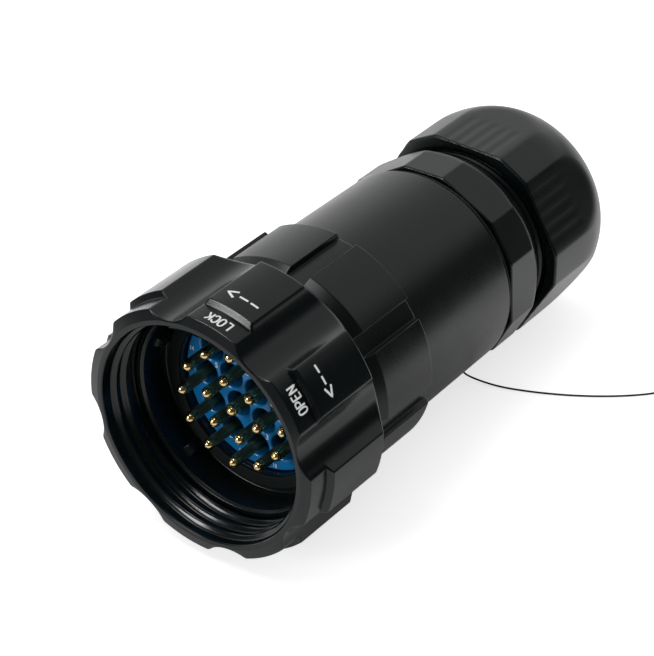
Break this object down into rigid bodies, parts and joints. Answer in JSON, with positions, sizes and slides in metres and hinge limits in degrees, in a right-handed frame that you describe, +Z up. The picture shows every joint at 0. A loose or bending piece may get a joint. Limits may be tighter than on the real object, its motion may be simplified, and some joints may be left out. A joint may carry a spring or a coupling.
{
  "type": "circular connector",
  "caption": "Round black cable plug with gilt pin contacts on a blue insert, a fluted coupling ring that turns, a smooth barrel and a cable gland with a dome nut.",
  "frame": {"origin": "on the connector's axis, in the plane of the coupling ring's front rim", "axes": "+Y along the axis from the mating end to the cable end, dipping 4.07 degrees because the plug lies on a pad of its ring and a flat of its nut; +Z up, +X to the right seen from the mating end"},
  "size_m": [0.0769, 0.1131, 0.0561],
  "materials": {
    "black_ring": "satin black moulded nylon",
    "black_shell": "satin black moulded nylon",
    "black_gland": "matt black moulded nylon",
    "blue_insert": "glossy blue insulator",
    "gilt": "bright gilt brass",
    "black_rubber": "matt rubber",
    "grey_rubber": "matt rubber",
    "washer_white": "smooth slip plastic",
    "cord": "thin black cord"
  },
  "bodies": {
    "housing": {"friction_washer": "washer_white", "front_shell": "black_shell", "face_seal": "black_rubber", "neck_o_ring": "black_rubber", "front_insert": "blue_insert", "rear_insert": "blue_insert", "insert_wafer_seal": "grey_rubber", "retaining_ring": "black_shell", "contact_pins": "gilt", "rear_shell": "black_shell", "gland_seal": "black_rubber", "gland_body": "black_gland", "clamping_claws": "black_gland", "sealing_grommet": "black_rubber", "cord_loop": "cord", "tie_cord": "cord", "cord_end_knot": "cord"},
    "coupling_ring": {"coupling_ring": "black_ring"},
    "nut_carrier": {"slip_ring": "black_gland"},
    "gland_nut": {"gland_nut": "black_gland"}
  },
  "joints": [
    {"name": "ring_turn", "type": "hinge", "parent": "housing", "child": "coupling_ring", "pos_m": [0, 0, 0], "axis": [0, 0.9975, -0.071], "continuous": true},
    {"name": "nut_travel", "type": "slide", "parent": "housing", "child": "nut_carrier", "axis": [0, 0.9975, -0.071], "range_m": [0, 0.01]},
    {"name": "nut_turn", "type": "hinge", "parent": "nut_carrier", "child": "gland_nut", "pos_m": [0, 0.09476, -0.00675], "axis": [0, 0.9975, -0.071], "range_deg": [0, 1800]}
  ],
  "couplings": [
    {"joint": "nut_travel", "follows": "nut_turn", "m_per_rad": 0.0003183}
  ]
}
